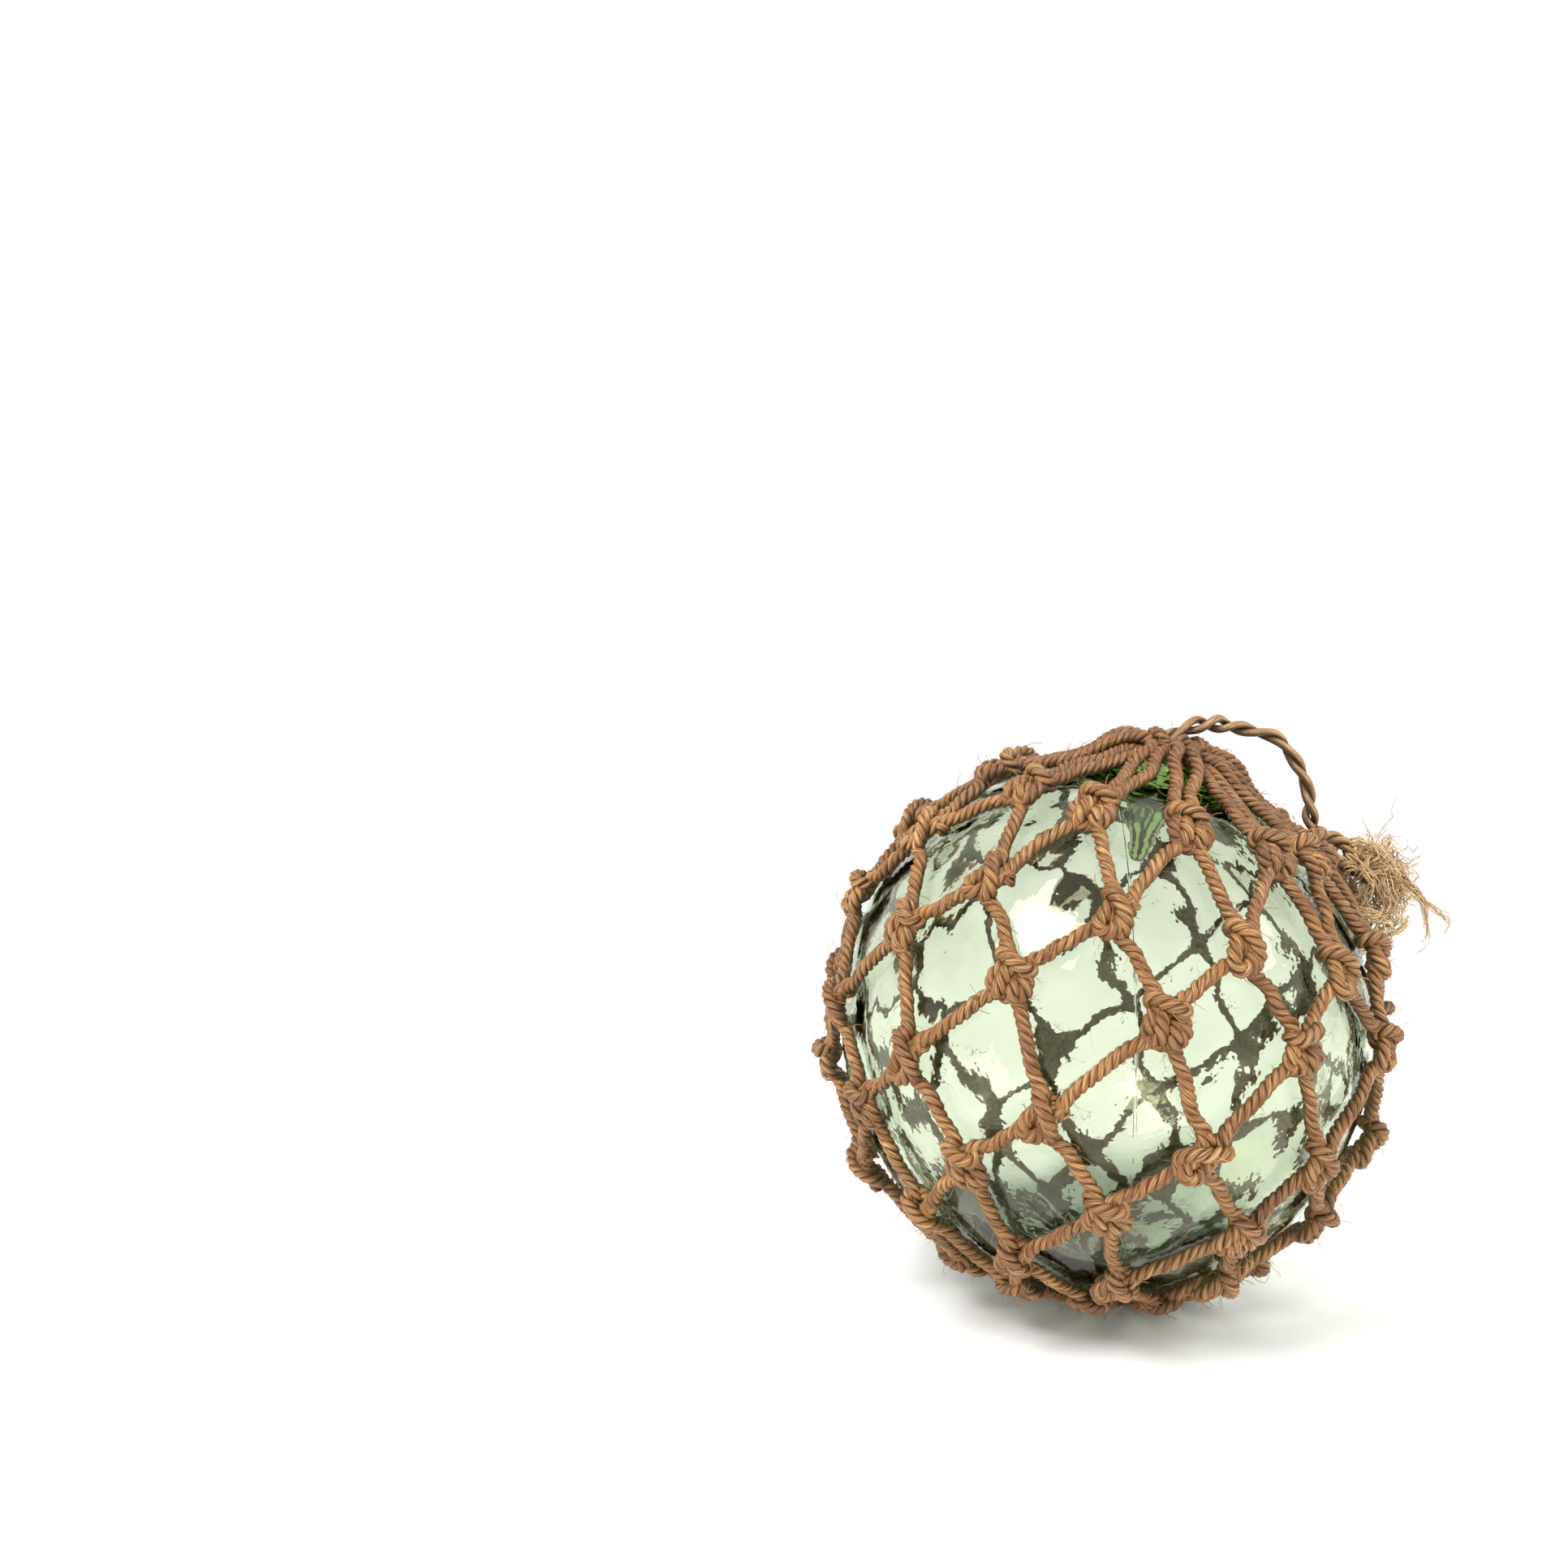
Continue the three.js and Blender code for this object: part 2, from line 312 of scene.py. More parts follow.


# Streaks of fibre along a strand, blotches of colour over the rope, the painted shade in the seams between
# its strands, and the painted shade on its side that faces the glass
def fibreGroup():
    tree, given, made = newTree(
        "laidFibre",
        "ShaderNodeTree",
        dict.fromkeys(("Fineness", "Stretch", "Blotch scale"), "Float"),
        dict.fromkeys(("Streak", "Strand tone", "Blotch", "Seam", "Glass side shade"), "Float"),
    )

    def attribute(label, output="Fac"):
        return addNode(tree, "ShaderNodeAttribute", attribute_name=label).outputs[output]

    along, strand = attribute("along"), attribute("strand")

    def lengthwise(shift, stretch):
        aside, onward = maths(tree, "MULTIPLY", strand, shift), maths(tree, "MULTIPLY", along, stretch)
        return addNode(tree, "ShaderNodeCombineXYZ", {"X": aside, "Y": 0.0, "Z": onward}).outputs[0]

    place = addNode(tree, "ShaderNodeTexCoord").outputs["Object"]
    across = vectorMaths(tree, "SCALE", attribute("section", "Vector"), scale=given["Fineness"])
    streakAt = vectorMaths(tree, "ADD", across, lengthwise(fibreGrain["streakShift"], given["Stretch"]))
    toneAt = lengthwise(fibreGrain["toneShift"], fibreGrain["toneStretch"])
    fromMiddle = vectorMaths(tree, "NORMALIZE", vectorMaths(tree, "SUBTRACT", place, tuple(ballMiddle)))
    normal = addNode(tree, "ShaderNodeNewGeometry").outputs["Normal"]
    facing = vectorMaths(tree, "DOT_PRODUCT", fromMiddle, normal)
    results = {
        "Streak": noise(tree, streakAt, 1.0, 3.0, 0.6),
        "Strand tone": noise(tree, toneAt, 1.0, 1.0),
        "Blotch": noise(tree, place, given["Blotch scale"], 2.0),
        # painted shade in the seams between the strands
        "Seam": mapRange(tree, attribute("reach"), fibreGrain["seamReach"], (1.0, 0.0)),
        # painted shade: each rope is darker on its side that faces the glass
        "Glass side shade": mapRange(tree, facing, fibreGrain["shadedSideFacing"]),
    }
    for label, value in results.items():
        tree.links.new(value, made[label])
    return tree


laidFibre = fibreGroup()


# A linear colour from the eight-bit values that a paint chart gives
def colour(red, green, blue):
    parts = []
    for value in (red, green, blue):
        share = value / 255
        parts.append(share / 12.92 if share <= 0.04045 else ((share + 0.055) / 1.055) ** 2.4)
    return (*parts, 1.0)


def newMaterial(name):
    material = bpy.data.materials.new(name)
    material.use_nodes = True
    material.node_tree.nodes.clear()
    return material, material.node_tree


def fibreMaterial(name, look):
    material, tree = newMaterial(name)
    group = addNode(tree, "ShaderNodeGroup", node_tree=laidFibre)
    for socket in group.inputs:
        socket.default_value = look[socket.name]
    fibre = group.outputs
    tone = mapRange(tree, fibre["Strand tone"], fibreGrain["tone"])
    streak = mapRange(tree, fibre["Streak"], fibreGrain["streak"])
    streak = maths(tree, "POWER", streak, fibreGrain["streakPower"])
    painted = mixColours(tree, tone, look["dark"], look["light"])
    for mask, amount, paint in (
        # paler fibres, partly a painted highlight
        (streak, fibreGrain["streaking"], "paleFibreAndHighlight"),
        (mapRange(tree, fibre["Blotch"], fibreGrain["blotch"]), look["blotching"], "stain"),
        # painted shade in the seams between the strands
        (fibre["Seam"], look["seamShadeDepth"], "seam"),
        # painted shade on the side of each rope that faces the glass
        (fibre["Glass side shade"], look["glassSideShade"], "inner"),
    ):
        painted = mixColours(tree, maths(tree, "MULTIPLY", mask, amount), painted, look[paint])
    drop = maths(tree, "MULTIPLY", fibre["Seam"], fibreGrain["seamDrop"])
    height = maths(tree, "ADD", fibre["Streak"], drop)
    bump = addNode(
        tree, "ShaderNodeBump",
        {"Strength": look["relief"], "Distance": fibreGrain["reliefDepth"], "Height": height},
    )
    shader = addNode(
        tree, "ShaderNodeBsdfPrincipled",
        {
            "Base Color": painted,
            "Roughness": mapRange(tree, fibre["Streak"], fibreGrain["gloss"], (look["dull"], look["glossy"])),
            "Normal": bump.outputs[0],
            "Specular IOR Level": look["specular"],
        },
    )
    addNode(tree, "ShaderNodeOutputMaterial", {"Surface": shader.outputs[0]})
    return material


netRopeLook = {
    "Fineness": 3.7,
    "Stretch": 160.0,
    "Blotch scale": 42.0,
    "dark": colour(80, 37, 9),
    "light": colour(145, 87, 35),
    # paler fibres, partly a painted highlight
    "paleFibreAndHighlight": colour(220, 174, 112),
    "stain": colour(90, 44, 16),
    "blotching": 0.45,
    # painted shade: the colour of the seams between the strands
    "seam": colour(46, 18, 6),
    "seamShadeDepth": 0.9,
    # painted shade: the colour of each rope's side that faces the glass
    "inner": colour(58, 38, 8),
    "glassSideShade": 0.85,
    "relief": 1.0,
    "dull": 0.52,
    "glossy": 0.24,
    "specular": 0.5,
}
gatheredLook = netRopeLook | {
    "dark": colour(75, 35, 11),
    "light": colour(134, 80, 36),
    "paleFibreAndHighlight": colour(200, 153, 101),
    "stain": colour(79, 40, 17),
    "blotching": 0.5,
}
loopCordLook = netRopeLook | {
    "dark": colour(110, 65, 29),
    "light": colour(174, 128, 74),
    "paleFibreAndHighlight": colour(228, 192, 138),
    "stain": colour(114, 70, 35),
}
tailRopeLook = netRopeLook | {
    "dark": colour(118, 73, 34),
    "light": colour(188, 140, 80),
    "paleFibreAndHighlight": colour(228, 194, 138),
    "stain": colour(114, 68, 34),
}
strawLook = netRopeLook | {
    "dark": colour(160, 110, 56),
    "light": colour(246, 216, 158),
    # paler fibres, partly a painted highlight
    "paleFibreAndHighlight": colour(254, 240, 200),
    "stain": colour(160, 106, 56),
    "blotching": 0.35,
    "seamShadeDepth": 0.0,
    "glassSideShade": 0.1,
    "relief": 0.2,
}
brownStrawLook = strawLook | {
    "dark": colour(110, 62, 28),
    "light": colour(176, 118, 64),
    "paleFibreAndHighlight": colour(214, 164, 104),
}
netRopeFinish = fibreMaterial("netRope", netRopeLook)
gatheredFinish = fibreMaterial("gatheredRope", gatheredLook)
loopCordFinish = fibreMaterial("loopCord", loopCordLook)
tailRopeFinish = fibreMaterial("tailRope", tailRopeLook)
brownStrawFinish = fibreMaterial("brownStraw", brownStrawLook)
strawFinish = fibreMaterial("frayedStraw", strawLook)


glassLook = {
    "tint": (0.875, 0.894, 0.843, 1.0),
    "sealTint": (0.76, 0.90, 0.66, 1.0),
    "ringTint": (0.60, 0.72, 0.46, 1.0),  # the thick glass round the seal
    # painted shade: the glass is tinted dark towards its bottom, standing in for the shaded floor and ropes
    # seen through it
    "footShadeTint": (0.34, 0.40, 0.37, 1.0),
    "sealPlace": (0.2164, -0.0681, 0.974),  # the seal's way from the ball's middle
    "sealEdge": (0.033, 0.027),  # each tint fades in between two distances from the seal, or two heights
    "ringEdge": (0.058, 0.040),
    "footEdge": (0.052, 0.028),
    "absorption": (0.42, 0.58, 0.14, 1.0),
    "density": 62.0,
    "shade": (0.88, 0.91, 0.87, 1.0),
    "footShade": (0.46, 0.50, 0.46, 1.0),  # little light comes down through the glass that it rests on
    "gleam": (0.78, 0.72, 0.58, 1.0),  # the colour of what the glass reflects head on
    "roughness": 0.012,
    "ior": 1.5,
    "rippleScale": 70.0,
    "relief": 0.12,
    "reliefDepth": 0.002,
    "seamWay": (0.996, -0.066, 0.0),  # square to the plane of the mould's seam
    "seamWidth": 0.0006,
    "seamHeight": 0.35,
}


def glassMaterial():
    material, tree = newMaterial("floatGlass")
    place = addNode(tree, "ShaderNodeTexCoord").outputs["Object"]
    away = vectorMaths(tree, "SUBTRACT", place, tuple(ballMiddle))
    offSeam = maths(tree, "ABSOLUTE", vectorMaths(tree, "DOT_PRODUCT", away, glassLook["seamWay"]))
    ridge = mapRange(tree, offSeam, (0.0, glassLook["seamWidth"]), (glassLook["seamHeight"], 0.0))
    relief = maths(tree, "ADD", noise(tree, place, glassLook["rippleScale"], 3.0), ridge)
    bump = addNode(
        tree, "ShaderNodeBump",
        {"Strength": glassLook["relief"], "Distance": glassLook["reliefDepth"], "Height": relief},
    )
    sealMiddle = tuple(unit(np.array(glassLook["sealPlace"])) * ballRadius)
    fromSeal = vectorMaths(tree, "DISTANCE", away, sealMiddle)
    height = addNode(tree, "ShaderNodeSeparateXYZ", {0: place}).outputs["Z"]
    atFoot = mapRange(tree, height, glassLook["footEdge"])
    tint = mixColours(
        tree, mapRange(tree, fromSeal, glassLook["ringEdge"]), glassLook["tint"], glassLook["ringTint"]
    )
    tint = mixColours(tree, mapRange(tree, fromSeal, glassLook["sealEdge"]), tint, glassLook["sealTint"])
    glass = addNode(
        tree, "ShaderNodeBsdfPrincipled",
        {
            # painted shade darkens the glass towards its bottom
            "Base Color": mixColours(tree, atFoot, tint, glassLook["footShadeTint"]),
            "Roughness": glassLook["roughness"],
            "IOR": glassLook["ior"],
            "Transmission Weight": 1.0,
            "Specular Tint": glassLook["gleam"],
            "Normal": bump.outputs[0],
        },
    )
    shade = mixColours(tree, atFoot, glassLook["shade"], glassLook["footShade"])
    clear = addNode(tree, "ShaderNodeBsdfTransparent", {"Color": shade})
    shadowRay = addNode(tree, "ShaderNodeLightPath").outputs["Is Shadow Ray"]
    mixed = addNode(tree, "ShaderNodeMixShader", {0: shadowRay, 1: glass.outputs[0], 2: clear.outputs[0]})
    depth = addNode(
        tree, "ShaderNodeVolumeAbsorption",
        {"Color": glassLook["absorption"], "Density": glassLook["density"]},
    )
    addNode(tree, "ShaderNodeOutputMaterial", {"Surface": mixed.outputs[0], "Volume": depth.outputs[0]})
    return material


# Hanging loop: a thin two-ply cord from the gather to the tail's knot

hangingLoop = {
    "radius": 0.0030,
    "plies": 2,
    "layLength": 0.030,
    "points": (  # from the ball's middle; its ends are tucked in between the ropes
        (0.026, -0.006, 0.137), (0.0335, -0.003, 0.1402), (0.0400, -0.001, 0.1425),
        (0.0468, 0, 0.1441), (0.0578, 0.0016, 0.1430), (0.0700, 0.0024, 0.1402),
        (0.0820, 0.0023, 0.1368), (0.0886, 0.0016, 0.1290), (0.0936, 0.0003, 0.1205),
        (0.0970, -0.0010, 0.1100), (0.0975, -0.0020, 0.1010), (0.1000, -0.0010, 0.0920),
        (0.1015, 0.0030, 0.0850),
    ),
    "opening": {2: 0.4, 3: 0.9, 4: 0.5, 8: 0.15, 10: 0.4},  # how far its plies stand apart, by point
}


def layCord(name, host, radius, strands, layLength, finish, step=0.0014, sides=7, seed=0.0, fullness=1.12):
    place = 1 / (1 + math.sin(math.pi / strands))
    values = {
        "Rope radius": radius,
        "Strands": strands,
        "Strand place": place,
        "Strand radius": (1 - place) * fullness,
        "Sides": sides,
        "Lay length": layLength,
        "Step": step,
        "Seed": seed,
        "Finish": finish,
    }
    return madeByNodes(name, host, laidRope, values)


def makeLoop():
    points = []
    for index, point in enumerate(hangingLoop["points"]):
        opening = hangingLoop["opening"].get(index, 0.0)
        points.append((*(np.array(point) + ballMiddle), 1.0, opening))
    line = smoothLine(points, False)
    host = pathHost("hangingLoop", [line], False)
    loop = layCord(
        "loopCord", host, hangingLoop["radius"], hangingLoop["plies"], hangingLoop["layLength"],
        loopCordFinish, sides=10, fullness=1.28,
    )
    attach(loop, "root")
    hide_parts("hanging_loop")


makeLoop()


# Net: where its knots sit

net = {
    "meshesAround": 12,
    "tiltDeg": (13.7, -1.7),  # right and back
    "phaseDeg": -63.5,
    "rows": (  # each row's angle from the gather, its slip round the ball, and its share of the tilt
        (35.8, 0, 1), (57.7, 0.1, 1), (75.2, 1.6, 1), (96.8, -1.1, 1), (112.9, 0.3, 1),
        (133, -0.8, 1), (150.5, 0, 0.4),
    ),
    "layLength": 0.0120,
    "gatheredLayLength": 0.0106,
    "ropeShare": 0.93,  # a rope under tension is a little thinner
    "knotWidth": 0.92,
    "knotHeight": 1.0,
    "knotThickness": 0.78,
    "pressedThickness": 0.5,  # of the last row, which lies under the ball
    "knotFullness": 1.07,  # the rope's thickness in a knot
    "knotWidths": (0.94, 1.06),  # least and most, against the even knot
    "knotHeights": (0.93, 1.07),
    "leanDeg": (8, -11),  # of the knots in even and odd rows
    "leanSpreadDeg": 7,
    "mirroredShare": 0.1,
    "knotWander": 0.0012,
    "pulled": {  # knots pulled out of the even net, by row and column: millimetres across and up
        (0, 0): (3, -1), (0, 2): (1, 3), (0, 3): (1, -2), (0, 4): (-11, 0), (1, 11): (0, 4),
        (1, 0): (4, -3), (1, 1): (3, 0), (1, 3): (-6, -4), (1, 4): (-14, 2), (2, 11): (3, 2),
        (2, 1): (-1, 2), (2, 2): (-4, 1), (3, 10): (5, 2), (3, 11): (2, 1), (3, 2): (-5, 1),
        (4, 10): (4, 3), (4, 11): (2, 1), (5, 10): (5, 3), (5, 0): (-4, 0), (5, 1): (-2, 6),
    },
    "seed": 7,
}
meshDeg = 360 / net["meshesAround"]
lastRow = len(net["rows"]) - 1
netRandom = np.random.default_rng(net["seed"])
knotLooks = {
    (row, column): {
        "turn": math.radians(netRandom.normal(net["leanDeg"][row % 2], net["leanSpreadDeg"])),
        "width": netRandom.uniform(*net["knotWidths"]),
        "height": netRandom.uniform(*net["knotHeights"]),
        "mirrored": netRandom.random() < net["mirroredShare"],
        "wander": netRandom.uniform(-net["knotWander"], net["knotWander"], 2),
    }
    for row in range(len(net["rows"]))
    for column in range(net["meshesAround"])
}


def leaning(share):
    right, back = (math.tan(math.radians(tilt * share)) for tilt in net["tiltDeg"])
    turn = straightUp.rotation_difference(Vector((right, back, 1)).normalized())
    return np.array(turn.to_matrix())


def direction(turn, angleDeg, roundDeg):
    angle, around = math.radians(angleDeg), math.radians(roundDeg)
    flat = math.sin(angle)
    return turn @ np.array([flat * math.sin(around), -flat * math.cos(around), math.cos(angle)])


def roundOf(row, column):
    return net["phaseDeg"] + net["rows"][row][1] + meshDeg * (column + row / 2)


# A knot's own axes: out from the glass, along the net's axis, and across
def knotFrame(row, column):
    angleDeg, _, share = net["rows"][row]
    turn = leaning(share)
    out = direction(turn, angleDeg, roundOf(row, column))
    look = knotLooks[row, column % net["meshesAround"]]
    along = unit(turn[:, 2] - out * (turn[:, 2] @ out))
    across = np.cross(along, out)
    pull = np.array(net["pulled"].get((row, column % net["meshesAround"]), (0, 0))) * 0.001
    shift = pull if pull.any() else look["wander"]
    out = unit(out * ballRadius + across * shift[0] + along * shift[1])
    along = unit(along - out * (along @ out))
    across = np.cross(along, out)
    cos, sin = math.cos(look["turn"]), math.sin(look["turn"])
    return {
        "out": out,
        "across": across * cos + along * sin,
        "along": along * cos - across * sin,
        "width": net["knotWidth"] * look["width"],
        "height": net["knotHeight"] * look["height"],
        "thickness": net["pressedThickness" if row == lastRow else "knotThickness"],
        "mirrored": look["mirrored"],
        "front": row % 2 == 1,
    }


# A place over the glass, its height in rope radii to the rope's middle
def onGlass(way, lift=1.0):
    return ballMiddle + unit(way) * (ballRadius + restGap + lift * ropeRadius)


def onKnot(knot, right, up, lift):
    flat = knot["across"] * right * knot["width"] + knot["along"] * up * knot["height"]
    return onGlass(knot["out"] * ballRadius + flat * ropeRadius, 1 + (lift - 1) * knot["thickness"])


# Two sides of a sheet bend, in rope radii: right, up and out from the glass. The net was turned over for
# each row, so one row shows the side with the bight on top, and the next the side with the working rope
frontWorking = (
    (-0.4, -2.0, 1.1), (0.0, -0.7, 1.8), (0.4, 0.6, 2.1), (0.9, 1.6, 2.2), (1.35, 1.85, 1.7),
    (1.3, 1.7, 0.9), (0, 1.7, 0.6), (-1.6, 1.7, 0.9), (-2.1, 1.7, 1.9), (-1.8, 1.6, 3.1),
    (-0.6, 1.2, 3.8), (0.5, 0.5, 3.9), (1.4, -0.1, 3.5), (2.0, -1.0, 2.6), (1.95, -2.0, 1.6),
)
frontBight = (
    (-1.05, 1.2, 2.1), (-1.05, -0.2, 2.3), (-1.1, -1.5, 2.5), (-0.9, -2.6, 2.7),
)
frontTip = (0, -3.1, 2.6)
backWorking = (
    (-0.85, -2.1, 2.8), (-0.75, -0.8, 3.1), (-0.6, 0.4, 2.5), (0.4, 1.3, 1.7), (1.45, 1.5, 1.2),
    (1.95, 1.2, 2.3), (1.55, 0.9, 3.5), (0.3, 1.4, 4.0), (-1.3, 2.0, 3.5), (-2.1, 2.1, 2.3),
    (-1.6, 1.6, 1.1), (-0.5, 0.6, 1.0), (0.6, -0.3, 1.7), (0.85, -1.3, 2.8), (0.95, -2.3, 2.7),
)
backBight = (
    (-1.15, 1.4, 1.9), (-1.7, 0.1, 2.4), (-2.15, -1.0, 2.5), (-1.7, -2.2, 1.8),
)
backTip = (0, -2.7, 1.0)
upperReach = 4.5  # where the net's ropes come down to the glass beside a knot
lowerReach = 5.0


# The way from a knot to a neighbour, in the knot's own axes
def flatWay(knot, toward):
    flat = np.array([toward @ knot["across"], toward @ knot["along"]])
    return flat / np.linalg.norm(flat)


# The place where a rope has come down to the glass beside its knot
def leaving(knot, toward, reach):
    flat = flatWay(knot, toward) * reach
    way = knot["out"] * ballRadius + (knot["across"] * flat[0] + knot["along"] * flat[1]) * ropeRadius
    return (*onGlass(way), 1.0, 0.0)


# The corner by which a rope leaves its knot, drawn half towards the neighbour
def corner(knot, toward, place, lift):
    flat = flatWay(knot, toward) * 1.5 + np.array(place) / 2
    return (flat[0], flat[1], lift)


def mirrored(points):
    return [(-across, up, lift) for across, up, lift in reversed(points)]


def knotPart(knot, template):
    return [(*onKnot(knot, *point), net["knotFullness"], 0.0) for point in template]


# The working rope's points in a knot, from its lower left neighbour to its lower right one
def workingPart(knot, left, right):
    inside = frontWorking if knot["front"] else backWorking
    if knot["mirrored"]:
        inside = mirrored(inside)
    first = corner(knot, left, (-1.2, -2.8), 1.3)
    last = corner(knot, right, (1.2, -2.8), 1.3)
    inner = knotPart(knot, [first, *inside, last])
    return [leaving(knot, left, lowerReach), *inner, leaving(knot, right, lowerReach)]


# The bight's points in a knot, from its upper left neighbour to its upper right one
def bightPart(knot, left, right):
    half, tip = (frontBight, frontTip) if knot["front"] else (backBight, backTip)
    first = corner(knot, left, (-1.1, 2.4), 1.6)
    last = corner(knot, right, (1.1, 2.4), 1.6)
    inner = knotPart(knot, [first, *half, tip, *mirrored(half), last])
    return [leaving(knot, left, upperReach), *inner, leaving(knot, right, upperReach)]


# Points on the glass between two knots, with a slight wander
def legPoints(start, end):
    first, last = np.array(start[:3]) - ballMiddle, np.array(end[:3]) - ballMiddle
    sideways = unit(np.cross(first, last))
    points = []
    for share in (0.33, 0.67):
        wander = netRandom.uniform(-0.22, 0.22) * ropeRadius
        way = first * (1 - share) + last * share + sideways * wander
        lift = 1.0 + abs(netRandom.normal(0, 0.06))
        points.append((*onGlass(way, lift), netRandom.uniform(0.97, 1.06), 0.0))
    return points


# The rope between two rows of knots, once round the ball
def rowTwine(row):
    points = []
    for column in range(net["meshesAround"]):
        upper, nextUpper = knotFrame(row, column), knotFrame(row, column + 1)
        lowerLeft, lower = knotFrame(row + 1, column - 1), knotFrame(row + 1, column)
        working = workingPart(upper, lowerLeft["out"], lower["out"])
        bight = bightPart(lower, upper["out"], nextUpper["out"])
        points += working + legPoints(working[-1], bight[0])
        points += bight + legPoints(bight[-1], leaving(nextUpper, lower["out"], lowerReach))
    return points


# Gather and foot, where the twines turn back

gather = {
    "parallel": 0.0037,  # half the distance between the two ropes of a pair
    "mostDeg": 12.5,  # most that a rope turns aside from the middle of its pair
    "turnRadius": 0.009,
    "liftFrom": 0.044,
    "liftTo": 0.020,
    "padLift": 0.0034,
    "layers": 3,
    "layerStep": 0.0037,
    "wander": 0.0011,
    "ringRadius": 0.0105,
}
foot = {
    "evenRadius": 0.028,
    "turnRadius": 0.018,
    "shoulder": 0.004,  # a rope starts its turn this much further out
    "parallel": 0.0035,
    "inwardShares": (0.35, 0.65, 0.85, 1.0),
    "ringRadius": 0.021,
    "lowFrom": 0.034,
    "lowTo": 0.020,
    "layers": (0.0039, 0.0082),  # heights of the ropes' middle over what the float stands on
}
netTurn = leaning(1)


def eased(value):
    share = min(1.0, max(0.0, value))
    return share * share * (3 - 2 * share)


# A place on a rope near the gather, by its distance from the net's axis
def gatherPlace(radius, roundDeg, layer):
    share = eased((gather["liftFrom"] - radius) / (gather["liftFrom"] - gather["liftTo"]))
    lift = share * (gather["padLift"] + layer * gather["layerStep"])
    way = direction(netTurn, math.degrees(math.asin(radius / ballRadius)), roundDeg)
    return onGlass(way, 1 + lift / ropeRadius)


def besideDeg(distance, radius, most=90):
    return min(most, math.degrees(math.asin(min(1.0, distance / radius))))


def gatherTwine():
    points = []
    columns = net["meshesAround"]
    layers = [column % gather["layers"] + netRandom.uniform(-0.12, 0.12) for column in range(columns)]

    def pairPlace(column, radius, side):
        shift = besideDeg(gather["parallel"], radius, gather["mostDeg"])
        wander = math.degrees(netRandom.normal(0, gather["wander"]) / radius)
        layer = layers[column % columns] + netRandom.uniform(-0.2, 0.2)
        return gatherPlace(radius, roundOf(0, column) + side * shift + wander, layer)

    def roughly():
        return netRandom.uniform(0.97, 1.05)

    outRadii = (0.054, 0.045, 0.036, 0.028, 0.021, 0.015)
    for column in range(columns):
        knot = knotFrame(0, column)
        left, right = (unit(pairPlace(column, outRadii[0], side) - ballMiddle) for side in (-1, 1))
        points += bightPart(knot, left, right)
        points += [(*pairPlace(column, radius, 1), roughly(), 0.0) for radius in outRadii]
        turnDeg = roundOf(0, column) + meshDeg / 2
        layer = (layers[column] + layers[(column + 1) % columns]) / 2
        turnRadius = gather["turnRadius"] * netRandom.uniform(0.75, 1.2)
        points.append((*gatherPlace(turnRadius, turnDeg, layer), 0.95, 0.0))
        points += [(*pairPlace(column + 1, radius, -1), roughly(), 0.0) for radius in reversed(outRadii)]
    return points


def footPlace(radius, roundDeg, height):
    around = math.radians(roundDeg)
    lying = ballMiddle[2] - math.sqrt((ballRadius + restGap + ropeRadius) ** 2 - radius ** 2)
    share = eased((foot["lowFrom"] - radius) / (foot["lowFrom"] - foot["lowTo"]))
    level = min(lying, lying + (height - lying) * share)
    return np.array([radius * math.sin(around), -radius * math.cos(around), level])


def roundAndRadius(place):
    return math.degrees(math.atan2(place[0], -place[1])), math.hypot(place[0], place[1])


# A rope's way in from its knot to where all run evenly round the foot
def drawnIn(knot, turnDeg, side, height):
    startDeg, startRadius = roundAndRadius(knot["out"] * ballRadius)
    endDeg = turnDeg + side * meshDeg / 4
    while startDeg < endDeg - 180:
        startDeg += 360
    while startDeg > endDeg + 180:
        startDeg -= 360
    places = []
    for share in foot["inwardShares"]:
        radius = startRadius + (foot["evenRadius"] - startRadius) * share
        beside = besideDeg(gather["parallel"], radius, meshDeg / 4)
        around = startDeg + (endDeg - startDeg) * share - side * beside * (1 - share)
        places.append(footPlace(radius, around, height))
    return places


def footTwine():
    points = []
    for column in range(net["meshesAround"]):
        knot, following = knotFrame(lastRow, column), knotFrame(lastRow, column + 1)
        turnDeg = roundOf(lastRow, column) + meshDeg / 2
        height = foot["layers"][column % 2]
        turnRadius = foot["turnRadius"] * netRandom.uniform(0.9, 1.15)

        ownLeft = drawnIn(knot, turnDeg, -1, height)
        ownRight = drawnIn(following, turnDeg, 1, height)
        previousDeg = roundOf(lastRow, column) - meshDeg / 2
        towardLeft = direction(leaning(0), 180 - 20, previousDeg + meshDeg / 4)
        points += workingPart(knot, towardLeft, unit(ownLeft[0] - ballMiddle))
        points += [(*place, 1.0, 0.0) for place in ownLeft]
        shoulder = turnRadius + foot["shoulder"]
        aside = besideDeg(foot["parallel"], shoulder)
        points.append((*footPlace(shoulder, turnDeg - aside, height), 0.97, 0.0))
        points.append((*footPlace(turnRadius, turnDeg, height), 0.95, 0.0))
        points.append((*footPlace(shoulder, turnDeg + aside, height), 0.97, 0.0))
        points += [(*place, 1.0, 0.0) for place in reversed(ownRight)]
    return points


# A ring of rope threaded over and under the bights that it draws together
def drawstring(placeAt):
    steps = net["meshesAround"]
    return [(*placeAt(360 * step / steps, step % 2), 1.0, 0.0) for step in range(steps)]


def netPiece(name, points, seed, layLength, finish):
    line = smoothLine(points, True)
    host = pathHost(name, [line], True)
    radius = ropeRadius * net["ropeShare"]
    piece = layCord(name, host, radius, 3, layLength, finish, step=0.00125, seed=seed, fullness=1.05)
    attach(piece, "root")
    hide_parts("rope_net")
    return piece


